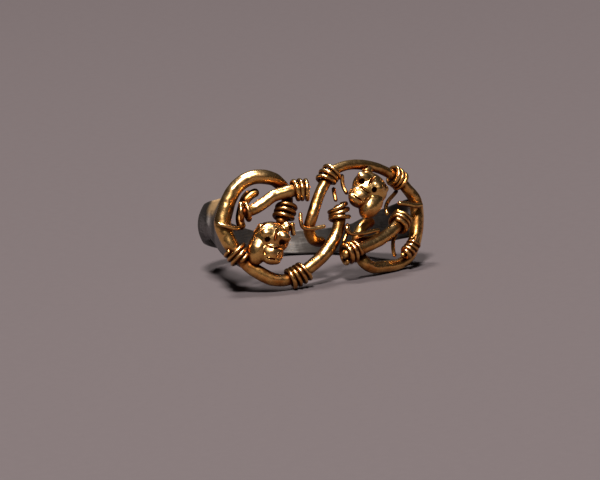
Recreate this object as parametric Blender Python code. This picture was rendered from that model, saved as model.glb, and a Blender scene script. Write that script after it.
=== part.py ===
"""An ancient finger ring, lying on its side.

The hoop is an open silver band whose wide shoulders carry an openwork bezel of
gold: two serpents of thick wire that loop round each other, each ending in a
small beast head, held by cross bars, thin wires and bindings of wound wire.

The ring is laid out upright round its finger hole and then laid down on the
side that it comes to rest on. X runs along the bezel, -Y out of its face and
Z along the finger hole. A place on the bezel is (along, across, level): level
is the height over the bezel's own curved middle surface.
"""

import math

import bmesh
import bpy
from mathutils import Matrix, Vector

MM = 0.001

# Hoop, in millimetres as all the sizes below
FINGER_HOLE_DIAMETER = 17.4
HOOP_WALL = 1.3  # at the crown of its dome
HOOP_EDGE_WALL = 0.7
HOOP_WIDTH_AT_BACK = 2.5
HOOP_WIDTH_AT_LEFT = 4.2
HOOP_RISE_AT_LEFT = 0.9  # of the middle of the band over its middle at the back
HOOP_WIDTH_AT_RIGHT = 3.0
LEFT_SHOULDER_WIDTH = 9.4  # where the hoop meets the bezel
RIGHT_SHOULDER_WIDTH = 4.4
LEFT_SHOULDER_DROP = 2.2  # below the middle of the hoop
RIGHT_SHOULDER_DROP = -0.9
SHOULDER_FLARE = 1.55  # how late the shoulders spread sideways: 1 is evenly

# Bezel
BEZEL_CURVE_RADIUS = 30.0
BEZEL_STAND_OFF = 3.0  # from the hoop's outer face to the bezel's middle surface
THICK_WIRE = 1.5
INNER_WIRE = 1.1
CORE_WIRE = 0.6
LOW_WIRE = 0.7
THIN_WIRE = 0.5
BINDING_WIRE = 0.5
BINDING_PITCH = 0.6

# Beast heads
HEAD_LENGTH = 5.8
HEAD_WIDTH = 5.0
HEAD_DEPTH = 3.2
EYE_HOLE = 0.6
EAR_LEAN = 20  # degrees, outwards
BROW_LEAN = 14
EAR_SHARE = 0.7  # size of the ear on the heavy side, as a share of the other
LEFT_HEAD_PLACE = (-7.3, -3.3, 0.9)
RIGHT_HEAD_PLACE = (4.3, 3.1, 0.9)
LEFT_HEAD_SPIN = 12  # degrees, snout to the lower left
RIGHT_HEAD_SPIN = 38
LEFT_HEAD_YAW = -6  # degrees, face to the left
RIGHT_HEAD_YAW = -20

GAP = 0.05  # between pieces that touch
REST_FLAT = 0.04  # depth worn off the three spots that the ring lies on

THICK_STEP = 1.0  # between the points along a thick wire's smooth route
THIN_STEP = 0.7
TURN_POINTS = 8
BACK_STEPS = 32
SHOULDER_STEPS = 8

hole_radius = FINGER_HOLE_DIAMETER / 2
hoop_radius = hole_radius + HOOP_WALL
bezel_distance = hoop_radius + BEZEL_STAND_OFF

# The hoop's section: (out from the finger hole, up as a share of its width)
HOOP_RISES = (-0.5, -0.36, -0.18, 0.0, 0.18, 0.36, 0.5)
HOOP_PROFILE = [
    (HOOP_EDGE_WALL + (HOOP_WALL - HOOP_EDGE_WALL) * (1 - (2 * up) ** 2), up) for up in HOOP_RISES
] + [(0.0, up) for up in reversed(HOOP_RISES)]

GOLD = (0.83, 0.50, 0.13)
DULL_SILVER = (0.20, 0.19, 0.18)

# Routes of the thick wires: (along, across, level, thickness as a share of
# THICK_WIRE) of the middle of each wire
LEFT_SERPENT = (
    (-6.1, -1.4, 0.1, 1.0), (-5.5, 0.1, 0.0, 1.0), (-5.1, 1.5, -0.4, 1.0),
    (-5.2, 2.9, -0.9, 1.0), (-6.5, 4.0, -0.4, 1.1), (-8.1, 4.3, 0.0, 1.2),
    (-9.5, 4.1, 0.0, 1.2), (-10.9, 3.2, 0.0, 1.2), (-11.8, 1.8, 0.0, 1.25),
    (-12.3, 0.3, 0.0, 1.35), (-12.6, -1.0, 0.0, 1.4), (-12.3, -2.2, 0.0, 1.35),
    (-11.7, -3.5, 0.0, 1.25), (-10.7, -4.8, 0.0, 1.1), (-9.7, -5.9, 0.0, 1.1),
    (-8.3, -6.8, 0.0, 1.15), (-7.0, -7.4, 0.0, 1.1), (-5.4, -7.5, 0.0, 1.0),
    (-3.9, -6.9, 0.0, 1.0), (-2.5, -5.9, 0.0, 1.05), (-1.1, -4.7, 0.0, 1.1),
    (0.1, -3.2, 0.0, 1.1), (0.9, -1.6, 0.0, 1.05), (1.2, 0.2, 0.0, 1.0),
    (0.8, 1.5, 0.0, 0.9),
)
RIGHT_SERPENT = (
    (0.1, -2.5, -1.8, 0.9), (-0.9, -2.7, -1.5, 0.9), (-1.9, -2.4, -0.9, 0.95),
    (-2.5, -1.4, -0.3, 0.95), (-2.2, 0.0, 0.0, 0.95), (-1.8, 1.3, 0.0, 0.95),
    (-1.3, 2.6, 0.0, 0.95), (-0.8, 3.6, 0.0, 0.95), (-0.3, 4.6, 0.0, 0.9),
    (0.5, 5.4, 0.0, 0.85), (1.5, 5.9, 0.0, 0.85), (2.7, 6.2, 0.0, 0.85),
    (4.1, 6.3, 0.0, 0.85), (5.7, 6.2, 0.0, 0.85), (7.5, 5.8, 0.0, 0.85),
    (9.2, 5.2, 0.0, 0.9), (10.8, 4.1, 0.0, 0.95), (12.0, 3.1, 0.0, 1.05),
    (12.4, 1.9, 0.0, 1.1), (12.4, 0.4, 0.0, 1.15), (12.2, -1.1, 0.0, 1.1),
    (11.6, -2.8, 0.0, 1.05), (10.6, -4.1, 0.0, 0.95), (8.9, -4.9, 0.0, 0.95),
    (7.2, -5.2, 0.0, 1.0), (5.5, -5.4, 0.0, 1.0), (4.3, -4.8, 0.0, 1.05),
    (4.1, -3.4, -0.9, 1.0), (4.0, -2.3, -0.85, 1.0), (4.5, -1.1, -0.9, 0.95),
    (5.4, -0.3, -1.1, 0.95), (6.6, 0.1, -1.2, 0.9),
)
LEFT_BAR = (
    (-10.9, 0.05, 1.45, 0.85), (-10.4, 0.0, 1.45, 0.85), (-9.8, 0.1, 1.3, 0.9),
    (-9.1, 0.4, 1.1, 0.95), (-8.1, 1.1, 0.95, 1.0), (-6.9, 2.0, 0.9, 1.0),
    (-5.4, 2.5, 0.85, 1.05), (-4.1, 2.8, 0.9, 1.05), (-2.9, 2.8, 1.1, 1.0),
)
RIGHT_BAR = (
    (10.3, 1.2, -0.2, 0.9), (9.7, 0.6, 0.3, 0.95), (8.6, -0.4, 0.7, 1.0),
    (7.3, -1.4, 0.85, 1.0), (6.0, -2.3, 0.9, 1.0), (4.2, -3.2, 0.9, 1.0),
    (2.8, -3.8, 0.95, 1.0), (1.8, -4.2, 0.95, 0.95), (1.0, -4.5, 0.9, 0.9),
)

# Routes of the finer wires: (along, across, level)
LEFT_INNER_WIRE = ((-8.3, 2.8, -1.1), (-9.3, 2.3, -0.95), (-10.2, 1.3, -1.0))
LEFT_MIDDLE_WIRE = (
    (-9.1, 2.9, -2.1), (-9.9, 2.0, -2.1), (-10.3, 0.9, -2.1), (-10.5, -0.4, -2.0),
    (-10.2, -1.6, -1.8),
)
RIGHT_INNER_WIRE = ((11.2, -1.2, 1.2), (10.6, -2.3, 1.3), (9.7, -3.3, 1.3), (8.7, -4.0, 1.2))
LEFT_TIE = ((-13.2, -1.3, 1.25), (-12.5, -1.5, 1.4), (-11.4, -1.8, 1.2), (-10.6, -1.8, 0.7))
RIGHT_TIE = ((12.1, 2.3, 1.15), (10.9, 2.1, 1.1), (9.7, 2.2, 0.9), (8.7, 2.2, 0.6))
LEFT_HOOK = (
    (-3.8, 0.3, 0.6), (-3.8, -0.8, 0.75), (-3.5, -1.5, 0.75), (-2.6, -1.6, 0.75), (-0.9, -1.2, 0.9),
)
RIGHT_HOOK = (
    (1.7, -0.9, 1.0), (1.6, -1.5, 1.1), (2.1, -1.9, 1.0), (3.5, -1.8, 1.05), (5.0, -1.4, 1.0),
    (5.9, -1.2, 0.95),
)
RIGHT_LOW_WIRE = ((2.9, -2.9, 0.25), (4.0, -2.35, 0.25), (5.6, -2.0, -0.2), (6.9, -1.4, -0.2))
RIGHT_STRAND = ((2.0, -0.6, 0.4), (1.9, -1.8, 0.4), (1.4, -3.0, 0.4))
RIGHT_UPRIGHT = ((8.9, -1.3, 0.15), (8.5, -2.1, 0.1), (8.5, -3.2, 0.1), (8.8, -4.0, 0.1))
LONG_WIRE = ((9.9, 3.9, -0.8), (9.0, 3.3, -0.4), (7.9, 2.5, 0.0), (7.1, 1.6, 0.5), (7.0, 0.6, 0.9))
ARCH_STRUTS = (
    ((0.75, 3.6, -0.7), (0.75, 2.8, -0.5), (0.8, 1.8, -0.1)),
    ((1.7, 5.15, -0.4), (1.8, 3.8, -0.35), (2.2, 2.7, 0.0)),
)
NECK_STUB = ((-4.8, -0.9, 0.9), (-4.8, -1.6, 0.9), (-4.6, -2.5, 0.6))

# Bindings: (name, middle, turns) by the wire that they are wound round
LEFT_SERPENT_BINDINGS = (
    ("binding_left_low", (-10.9, -4.8, 0.0), 3),
    ("binding_left_bottom", (-3.9, -6.9, 0.0), 4),
    ("binding_left_neck", (-5.6, 0.3, 0.0), 3),
    ("binding_waist", (1.1, 0.5, 0.0), 3),
)
RIGHT_SERPENT_BINDINGS = (
    ("binding_right_arch_left", (-0.2, 4.7, 0.0), 3),
    ("binding_right_arch_right", (9.2, 5.2, 0.0), 3),
)
LEFT_BAR_BINDINGS = (
    ("binding_left_bar_outer", (-10.2, 0.0, 1.4), 2),
    ("binding_left_bar_inner", (-3.4, 2.8, 1.0), 3),
)
RIGHT_BAR_BINDINGS = (
    ("binding_right_bar_outer", (9.2, 0.2, 0.5), 3),
    ("binding_right_bar_inner", (2.0, -4.1, 0.95), 3),
)
RIGHT_INNER_BINDINGS = (("binding_right_inner", (10.1, -2.9, 1.3), 4),)

bezel_half_length = max(point[0] for point in RIGHT_SERPENT)

# The two shoulders by their side: (outer wire, width at the hoop, rise at the
# hoop, width at the bezel, drop at the bezel)
SHOULDERS = {
    1: (RIGHT_SERPENT, HOOP_WIDTH_AT_RIGHT, 0.0, RIGHT_SHOULDER_WIDTH, RIGHT_SHOULDER_DROP),
    -1: (LEFT_SERPENT, HOOP_WIDTH_AT_LEFT, HOOP_RISE_AT_LEFT, LEFT_SHOULDER_WIDTH, LEFT_SHOULDER_DROP),
}


def bezel_place(along, across, level):
    """A place on the bezel, in metres: its middle surface bends round Z."""
    angle = along / BEZEL_CURVE_RADIUS
    out = BEZEL_CURVE_RADIUS + level
    depth = BEZEL_CURVE_RADIUS - bezel_distance
    return Vector((out * math.sin(angle), depth - out * math.cos(angle), across)) * MM


def smooth(points, step):
    """Points about step apart along a smooth curve through the given ones."""
    points = [Vector(point) for point in points]
    ends = [2 * points[0] - points[1]] + points + [2 * points[-1] - points[-2]]
    route = []
    for a, b, c, d in zip(ends, ends[1:], ends[2:], ends[3:]):
        count = max(1, round((c - b).length / step))
        for i in range(count):
            t = i / count
            route.append(
                0.5 * (2 * b + (c - a) * t + (2 * a - 5 * b + 4 * c - d) * t**2
                       + (3 * b - a - 3 * c + d) * t**3)
            )
    return route + [points[-1]]


def plain_wire(points, diameter):
    """A wire of one thickness: its places in metres, and its diameter at each."""
    route = [bezel_place(*point) for point in smooth(points, THIN_STEP)]
    return route, [diameter] * len(route)


def swelling_wire(points):
    """A thick wire, whose points also say how thick it is as a share of THICK_WIRE."""
    points = smooth(points, THICK_STEP)
    return [bezel_place(*point[:3]) for point in points], [point[3] * THICK_WIRE for point in points]


def material(name, colour, roughness):
    made = bpy.data.materials.new(name)
    made.use_nodes = True
    shader = made.node_tree.nodes["Principled BSDF"]
    shader.inputs["Base Color"].default_value = (*colour, 1.0)
    shader.inputs["Metallic"].default_value = 1.0
    shader.inputs["Roughness"].default_value = roughness
    return made


def collection(name, shown=True):
    made = bpy.data.collections.new(name)
    made.hide_render = not shown
    bpy.context.scene.collection.children.link(made)
    return made


def add_object(name, data, finish=None):
    added = bpy.data.objects.new(name, data)
    RING.objects.link(added)
    added.parent = POSE
    if finish:
        data.materials.append(finish)
    return added


def tube(name, wire, finish, resolution=2):
    """A wire along its route, with filled ends."""
    route, diameters = wire
    curve = bpy.data.curves.new(name, "CURVE")
    curve.dimensions = "3D"
    curve.bevel_depth = MM / 2
    curve.bevel_resolution = resolution
    curve.use_fill_caps = True
    spline = curve.splines.new("POLY")
    spline.points.add(len(route) - 1)
    for point, place, diameter in zip(spline.points, route, diameters):
        point.co = (*place, 1.0)
        point.radius = diameter
    return add_object(name, curve, finish)


def lengths_along(route):
    total = [0.0]
    for a, b in zip(route, route[1:]):
        total.append(total[-1] + (b - a).length)
    return total


def at_length(route, total, length):
    """The place at a length along the route, and the route's direction there."""
    for i in range(len(route) - 1):
        if total[i + 1] >= length or i == len(route) - 2:
            share = (length - total[i]) / (total[i + 1] - total[i])
            way = route[i + 1] - route[i]
            return route[i] + way * share, way.normalized()


def nearest_length(route, total, place):
    """The length along the route at the point nearest to the place."""
    best = min(range(len(route)), key=lambda i: (route[i] - place).length)
    return total[best]


def mesh_from(wire):
    """The closed mesh of a wire, which takes the wire's place; the wire goes."""
    graph = bpy.context.evaluated_depsgraph_get()
    mesh = bpy.data.meshes.new_from_object(wire.evaluated_get(graph))
    bpy.data.objects.remove(wire)
    cleaned = bmesh.new()
    cleaned.from_mesh(mesh)
    bmesh.ops.remove_doubles(cleaned, verts=cleaned.verts[:], dist=GAP * MM / 10)
    cleaned.to_mesh(mesh)
    cleaned.free()
    return mesh


def room_for(target, wire):
    """Cuts room for a wire, with a gap, out of the target."""
    route, diameters = wire
    corners = math.cos(math.pi / 8)  # a tube of bevel resolution 2 has eight sides
    room = tube("room", (route, [(diameter + 2 * GAP) / corners for diameter in diameters]), None)
    boolean(target, helper_object("room", mesh_from(room)), "DIFFERENCE")


def turn_diameter(core_diameter):
    """Across the turns of a binding, from the middle of its wire."""
    return (core_diameter + BINDING_WIRE + 2 * GAP) / math.cos(math.pi / TURN_POINTS)


def with_bindings(core, bindings):
    """The core wire, but as thick as its bindings where they are."""
    route, diameters = core
    total = lengths_along(route)
    thick = list(diameters)
    for name, middle, turns in bindings:
        centre = nearest_length(route, total, bezel_place(*middle))
        reach = (turns / 2 + 2) * BINDING_PITCH * MM
        for i, length in enumerate(total):
            if abs(length - centre) < reach:
                thick[i] = turn_diameter(diameters[i]) + BINDING_WIRE
    return route, thick


def binding(name, core, middle, turns, finish):
    """Wire wound round a core wire, its turns centred on the place middle.

    Returns the wire that would fill the whole binding.
    """
    core_route, core_diameters = core
    total = lengths_along(core_route)
    centre = nearest_length(core_route, total, bezel_place(*middle))
    pitch = BINDING_PITCH * MM
    start = centre - turns * pitch / 2
    start = min(max(start, 0.0), total[-1] - turns * pitch)
    reach = (turns / 2 + 1) * pitch
    bound = [size for size, length in zip(core_diameters, total) if abs(length - centre) < reach]
    wound = turn_diameter(max(bound))
    across = None
    route = []
    for i in range(round(turns * TURN_POINTS) + 1):
        place, way = at_length(core_route, total, start + i * pitch / TURN_POINTS)
        across = across or way.orthogonal()
        across = (across - way * across.dot(way)).normalized()
        turned = Matrix.Rotation(i * math.tau / TURN_POINTS, 3, way) @ across
        route.append(place + turned * wound / 2 * MM)
    tube(name, (route, [BINDING_WIRE] * len(route)), finish, resolution=1)
    length = turns * pitch
    filled = (start - pitch, start + length / 2, start + length + pitch)
    places = [at_length(core_route, total, spot)[0] for spot in filled]
    return places, [wound + BINDING_WIRE] * len(places)


def frame_wire_place(points, side, height):
    """Where the outer wire of one loop passes a height, as a point of its route."""
    outer = [point for point in points if point[0] * side > bezel_half_length * 0.6]
    outer.sort(key=lambda point: point[1])
    for low, high in zip(outer, outer[1:]):
        if low[1] <= height <= high[1]:
            return Vector(low).lerp(Vector(high), (height - low[1]) / (high[1] - low[1]))
    return Vector(outer[0] if height < outer[0][1] else outer[-1])


def shoulder_ring(side, spread):
    """One section of a shoulder; spread runs from 0 at the hoop to 1 at the bezel."""
    points, side_width, rise, end_width, drop = SHOULDERS[side]
    grown = spread**SHOULDER_FLARE
    width = side_width + (end_width - side_width) * spread
    ring = []
    for out, up in HOOP_PROFILE:
        height = up * width + rise * (1 - spread) - drop * spread
        along, across, level, thickness = frame_wire_place(points, side, height)
        back = bezel_place(along, across, level - thickness * THICK_WIRE / 4) / MM
        reach = abs(back.x) - HOOP_WALL / 2 - hole_radius
        x = hole_radius + reach * grown + out
        ring.append(Vector((side * x, back.y * spread, height)) * MM)
    return ring


def back_ring(angle):
    """One section of the round part of the hoop, at an angle from -Y."""
    side_width, rise = SHOULDERS[1 if angle < math.pi else -1][1:3]
    nearness = abs(math.sin(angle))
    width = HOOP_WIDTH_AT_BACK + (side_width - HOOP_WIDTH_AT_BACK) * nearness
    away = Vector((math.sin(angle), -math.cos(angle), 0))
    ring = []
    for out, up in HOOP_PROFILE:
        ring.append((away * (hole_radius + out) + Vector((0, 0, up * width + rise * nearness))) * MM)
    return ring


def hoop(finish):
    """The open band: a domed strip from one shoulder round the back to the other."""
    rings = [shoulder_ring(1, 1 - i / SHOULDER_STEPS) for i in range(SHOULDER_STEPS)]
    rings += [back_ring(math.pi * (0.5 + i / BACK_STEPS)) for i in range(BACK_STEPS + 1)]
    rings += [shoulder_ring(-1, (i + 1) / SHOULDER_STEPS) for i in range(SHOULDER_STEPS)]
    band = bmesh.new()
    rows = [[band.verts.new(place) for place in ring] for ring in rings]
    for first, second in zip(rows, rows[1:]):
        for i in range(len(HOOP_PROFILE)):
            j = (i + 1) % len(HOOP_PROFILE)
            band.faces.new((first[i], first[j], second[j], second[i]))
    band.faces.new(rows[0])
    band.faces.new(reversed(rows[-1]))
    bmesh.ops.recalc_face_normals(band, faces=band.faces[:])
    mesh = bpy.data.meshes.new("hoop")
    band.to_mesh(mesh)
    band.free()
    return add_object("hoop", mesh, finish)


def lump(parts, size, place, turn=0.0):
    """One rounded lump of a head, as its own closed ball."""
    shape = (
        Matrix.Translation(Vector(place) * MM)
        @ Matrix.Rotation(math.radians(turn), 4, "Y")
        @ Matrix.Diagonal((*(Vector(size) / 2 * MM), 1.0))
    )
    ball = bpy.data.meshes.new("lump")
    made = bmesh.new()
    bmesh.ops.create_icosphere(made, subdivisions=2, radius=1.0, matrix=shape)
    made.to_mesh(ball)
    made.free()
    parts.append(ball)


def helper_object(name, mesh):
    made = bpy.data.objects.new(name, mesh)
    made.display_type = "WIRE"
    made.hide_render = True
    made.parent = POSE
    HELPERS.objects.link(made)
    return made


def boolean(target, other, operation):
    step = target.modifiers.new(operation.lower(), "BOOLEAN")
    step.operation = operation
    step.object = other
    step.solver = "EXACT"


def head(name, middle, spin, yaw, heavy_side, wires, finish):
    """A beast's head: snout down, two round ears, bulging brows and drilled eyes.

    The cheek on the heavy side, which joins the body, is the bigger one, and the
    face looks a little away from it. Room is cut for all the wires that are near.
    """
    long, wide, deep = HEAD_LENGTH, HEAD_WIDTH, HEAD_DEPTH
    face = -heavy_side * wide * 0.08
    lumps = []
    lump(lumps, (wide * 0.86, deep, long * 0.66), (0, 0, long * 0.08))
    lump(lumps, (wide * 0.56, deep * 0.8, long * 0.48), (face, -deep * 0.12, -long * 0.22))
    lump(lumps, (wide * 0.40, deep * 0.4, long * 0.18), (face * 1.5, -deep * 0.26, -long * 0.37))
    lump(lumps, (wide * 0.5, deep * 0.85, long * 0.66), (heavy_side * wide * 0.24, 0, -long * 0.19))
    for side in (-1, 1):
        ear_share = EAR_SHARE if side == heavy_side else 1.0
        ear_size = (wide * 0.26 * ear_share, deep * 0.36, long * 0.22 * ear_share)
        lump(lumps, ear_size, (side * wide * 0.29, -deep * 0.1, long * 0.35 * ear_share), side * EAR_LEAN)
        brow_size = (wide * 0.36, deep * 0.34, long * 0.22)
        lump(lumps, brow_size, (face + side * wide * 0.18, -deep * 0.36, long * 0.12), side * BROW_LEAN)
    placed = (
        Matrix.Translation(bezel_place(*middle))
        @ Matrix.Rotation(middle[0] / BEZEL_CURVE_RADIUS, 4, "Z")
        @ Matrix.Rotation(math.radians(spin), 4, "Y")
        @ Matrix.Rotation(math.radians(yaw), 4, "Z")
    )
    base = add_object(name, lumps[0], finish)
    base.matrix_basis = placed
    for i, mesh in enumerate(lumps[1:]):
        other = helper_object(f"{name} lump {i}", mesh)
        other.matrix_basis = placed
        boolean(base, other, "UNION")
    for side in (-1, 1):
        drill = bpy.data.meshes.new("eye drill")
        made = bmesh.new()
        bmesh.ops.create_cone(
            made, cap_ends=True, segments=8, radius1=EYE_HOLE / 2 * MM, radius2=EYE_HOLE / 2 * MM,
            depth=deep * 0.5 * MM,
            matrix=Matrix.Translation(Vector((face + side * wide * 0.17, -deep * 0.5, 0)) * MM)
            @ Matrix.Rotation(math.pi / 2, 4, "X"),
        )
        made.to_mesh(drill)
        made.free()
        cutter = helper_object(f"{name} eye drill {side}", drill)
        cutter.matrix_basis = placed
        boolean(base, cutter, "DIFFERENCE")
    for wire in wires:
        if min((place - placed.translation).length for place in wire[0]) < HEAD_LENGTH * 0.75 * MM:
            room_for(base, wire)
    return base


def lay_down():
    """Turns the whole ring so that it rests on its lower side.

    Of the flat faces that could touch the ground there, the one nearest to the
    centre of the weight is the one that the ring settles on.
    """
    bpy.context.view_layer.update()
    graph = bpy.context.evaluated_depsgraph_get()
    hull = bmesh.new()
    centre = Vector()
    total = 0.0
    for piece in RING.objects:
        if piece == POSE:
            continue
        evaluated = piece.evaluated_get(graph)
        mesh = evaluated.to_mesh()
        mesh.calc_loop_triangles()
        places = [evaluated.matrix_world @ vertex.co for vertex in mesh.vertices]
        for triangle in mesh.loop_triangles:
            a, b, c = (places[i] for i in triangle.vertices)
            volume = a.dot(b.cross(c)) / 6
            centre += (a + b + c) / 4 * volume
            total += volume
        for place in places:
            hull.verts.new(place)
        evaluated.to_mesh_clear()
    centre /= total
    bmesh.ops.convex_hull(hull, input=hull.verts[:])
    bmesh.ops.recalc_face_normals(hull, faces=hull.faces[:])
    down = Vector((0, 0, -1))
    foot = None
    nearest = math.inf
    for face in hull.faces:
        if face.normal.z > -0.5:
            continue
        reach = (face.verts[0].co - centre).dot(face.normal)
        if reach < nearest:
            nearest = reach
            foot = face
    turn = foot.normal.rotation_difference(down).to_matrix().to_4x4()
    corners = [turn @ vertex.co for vertex in hull.verts]
    low = [min(corner[i] for corner in corners) for i in range(3)]
    high = [max(corner[i] for corner in corners) for i in range(3)]
    shift = Matrix.Translation((-(low[0] + high[0]) / 2, -(low[1] + high[1]) / 2, -low[2]))
    hull.free()
    POSE.matrix_world = Matrix.Translation((0, 0, -REST_FLAT * MM)) @ shift @ turn


def wear_flats():
    """Flattens the three spots that the ring rests on, at the height zero."""
    bpy.context.view_layer.update()
    graph = bpy.context.evaluated_depsgraph_get()
    below = bpy.data.meshes.new("worn away")
    made = bmesh.new()
    bmesh.ops.create_cube(made, size=4 * bezel_distance * MM)
    bmesh.ops.translate(made, verts=made.verts[:], vec=(0, 0, -2 * bezel_distance * MM))
    made.to_mesh(below)
    made.free()
    cutter = helper_object("worn away", below)
    cutter.parent = None
    for piece in list(RING.objects):
        if piece == POSE:
            continue
        evaluated = piece.evaluated_get(graph)
        mesh = evaluated.to_mesh()
        lowest = min((evaluated.matrix_world @ vertex.co).z for vertex in mesh.vertices)
        evaluated.to_mesh_clear()
        if lowest >= 0:
            continue
        if piece.type == "CURVE":
            name = piece.name
            piece = add_object(name, mesh_from(piece))
            piece.name = name
            graph = bpy.context.evaluated_depsgraph_get()
        boolean(piece, cutter, "DIFFERENCE")


for old in list(bpy.data.objects):
    bpy.data.objects.remove(old)

RING = collection("finger ring")
HELPERS = collection("helpers", shown=False)
POSE = bpy.data.objects.new("lying pose", None)
RING.objects.link(POSE)

gold = material("bright gold", GOLD, 0.28)
dull_silver = material("dull silver", DULL_SILVER, 0.45)

left_serpent = swelling_wire(LEFT_SERPENT)
right_serpent = swelling_wire(RIGHT_SERPENT)
left_bar = swelling_wire(LEFT_BAR)
right_bar = swelling_wire(RIGHT_BAR)
right_inner = plain_wire(RIGHT_INNER_WIRE, CORE_WIRE)

band = hoop(dull_silver)
room_for(band, with_bindings(left_serpent, LEFT_SERPENT_BINDINGS))
room_for(band, with_bindings(right_serpent, RIGHT_SERPENT_BINDINGS))
tube("left_serpent_body", left_serpent, gold)
tube("right_serpent_body", right_serpent, gold)
tube("left_cross_bar", left_bar, gold)
tube("right_cross_bar", right_bar, gold)
FINE_WIRES = {
    "left_inner_wire": plain_wire(LEFT_INNER_WIRE, INNER_WIRE),
    "left_middle_wire": plain_wire(LEFT_MIDDLE_WIRE, INNER_WIRE),
    "right_inner_wire": right_inner,
    "left_tie": plain_wire(LEFT_TIE, THIN_WIRE),
    "right_tie": plain_wire(RIGHT_TIE, CORE_WIRE),
    "left_hook": plain_wire(LEFT_HOOK, THIN_WIRE),
    "right_hook": plain_wire(RIGHT_HOOK, THIN_WIRE),
    "right_low_wire": plain_wire(RIGHT_LOW_WIRE, LOW_WIRE),
    "right_strand": plain_wire(RIGHT_STRAND, THIN_WIRE),
    "right_upright": plain_wire(RIGHT_UPRIGHT, THIN_WIRE),
    "long_wire": plain_wire(LONG_WIRE, THIN_WIRE),
    "neck_stub": plain_wire(NECK_STUB, CORE_WIRE),
    "arch_strut_1": plain_wire(ARCH_STRUTS[0], THIN_WIRE),
    "arch_strut_2": plain_wire(ARCH_STRUTS[1], THIN_WIRE),
}
for name, wire in FINE_WIRES.items():
    tube(name, wire, gold)

wires = [left_serpent, right_serpent, left_bar, right_bar, *FINE_WIRES.values()]
for core, bindings in (
    (left_serpent, LEFT_SERPENT_BINDINGS),
    (right_serpent, RIGHT_SERPENT_BINDINGS),
    (left_bar, LEFT_BAR_BINDINGS),
    (right_bar, RIGHT_BAR_BINDINGS),
    (right_inner, RIGHT_INNER_BINDINGS),
):
    for name, middle, turns in bindings:
        wires.append(binding(name, core, middle, turns, gold))

head("left_serpent_head", LEFT_HEAD_PLACE, LEFT_HEAD_SPIN, LEFT_HEAD_YAW, -1, wires, gold)
head("right_serpent_head", RIGHT_HEAD_PLACE, RIGHT_HEAD_SPIN, RIGHT_HEAD_YAW, 1, wires, gold)

lay_down()
wear_flats()
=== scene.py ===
import math

import bmesh
import bpy
from mathutils import Matrix, Vector, noise
from mathutils.bvhtree import BVHTree


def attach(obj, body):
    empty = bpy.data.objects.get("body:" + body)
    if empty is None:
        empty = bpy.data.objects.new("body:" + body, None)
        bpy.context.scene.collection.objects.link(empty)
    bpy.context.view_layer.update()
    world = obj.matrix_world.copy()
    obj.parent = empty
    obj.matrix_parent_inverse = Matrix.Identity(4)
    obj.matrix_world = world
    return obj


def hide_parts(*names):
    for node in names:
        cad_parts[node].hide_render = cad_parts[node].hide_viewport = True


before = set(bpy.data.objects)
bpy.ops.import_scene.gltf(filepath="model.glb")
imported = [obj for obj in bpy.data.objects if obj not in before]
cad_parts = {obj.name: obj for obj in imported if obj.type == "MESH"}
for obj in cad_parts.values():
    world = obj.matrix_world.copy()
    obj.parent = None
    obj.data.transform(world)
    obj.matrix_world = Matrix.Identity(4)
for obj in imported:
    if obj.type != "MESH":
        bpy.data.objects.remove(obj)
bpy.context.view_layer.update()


# The hoop is an open band of tarnished silver, flat inside and domed outside. It
# was hammered to shape, and its two ends are spread wide and soldered to the back
# of the bezel, where they follow the frame wires.

MM = 0.001  # sizes below are in millimetres

FINGER_HOLE_DIAMETER = 17.4
HOOP_WALL = 1.3
HOOP_EDGE_WALL = 0.7
HOOP_WIDTH_AT_BACK = 2.5
HOOP_WIDTH_AT_LEFT = 4.2
HOOP_RISE_AT_LEFT = 0.9
HOOP_WIDTH_AT_RIGHT = 3.0
LEFT_SHOULDER_WIDTH = 9.4
RIGHT_SHOULDER_WIDTH = 4.4
LEFT_SHOULDER_DROP = 2.2
RIGHT_SHOULDER_DROP = -0.9
SHOULDER_FLARE = 1.55
BEZEL_CURVE_RADIUS = 30.0
BEZEL_STAND_OFF = 3.0
THICK_WIRE = 1.5
HOOP_BACK_STEPS = 72
HOOP_SHOULDER_STEPS = 22
HOOP_RISE_STEPS = 16
HOOP_DENTS = (0.05, 1.6)  # depth and size of the hammer's dents
GOLD_AND_SHEEN_SPOT = (-10.2, -2.4, 2.4)  # middle of the gold on the band, painted bright as a highlight, in the upright ring
# middle of a painted highlight on the band, a pale spot, in the upright ring
PAINTED_HIGHLIGHT_SPOT = (-10.2, -1.6, 0.6)

# The ring lies on its side: this direction of the upright ring points down, and
# the middle of the finger hole is at this place
SIDE_DOWN = Vector((0.20020, 0.24168, -0.94948))
HOLE_MIDDLE = Vector((-0.01, 3.07, 4.25))
lying = (
    Matrix.Translation(HOLE_MIDDLE * MM)
    @ SIDE_DOWN.rotation_difference(Vector((0, 0, -1))).to_matrix().to_4x4()
)

hole_radius = FINGER_HOLE_DIAMETER / 2
bezel_distance = hole_radius + HOOP_WALL + BEZEL_STAND_OFF

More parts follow.
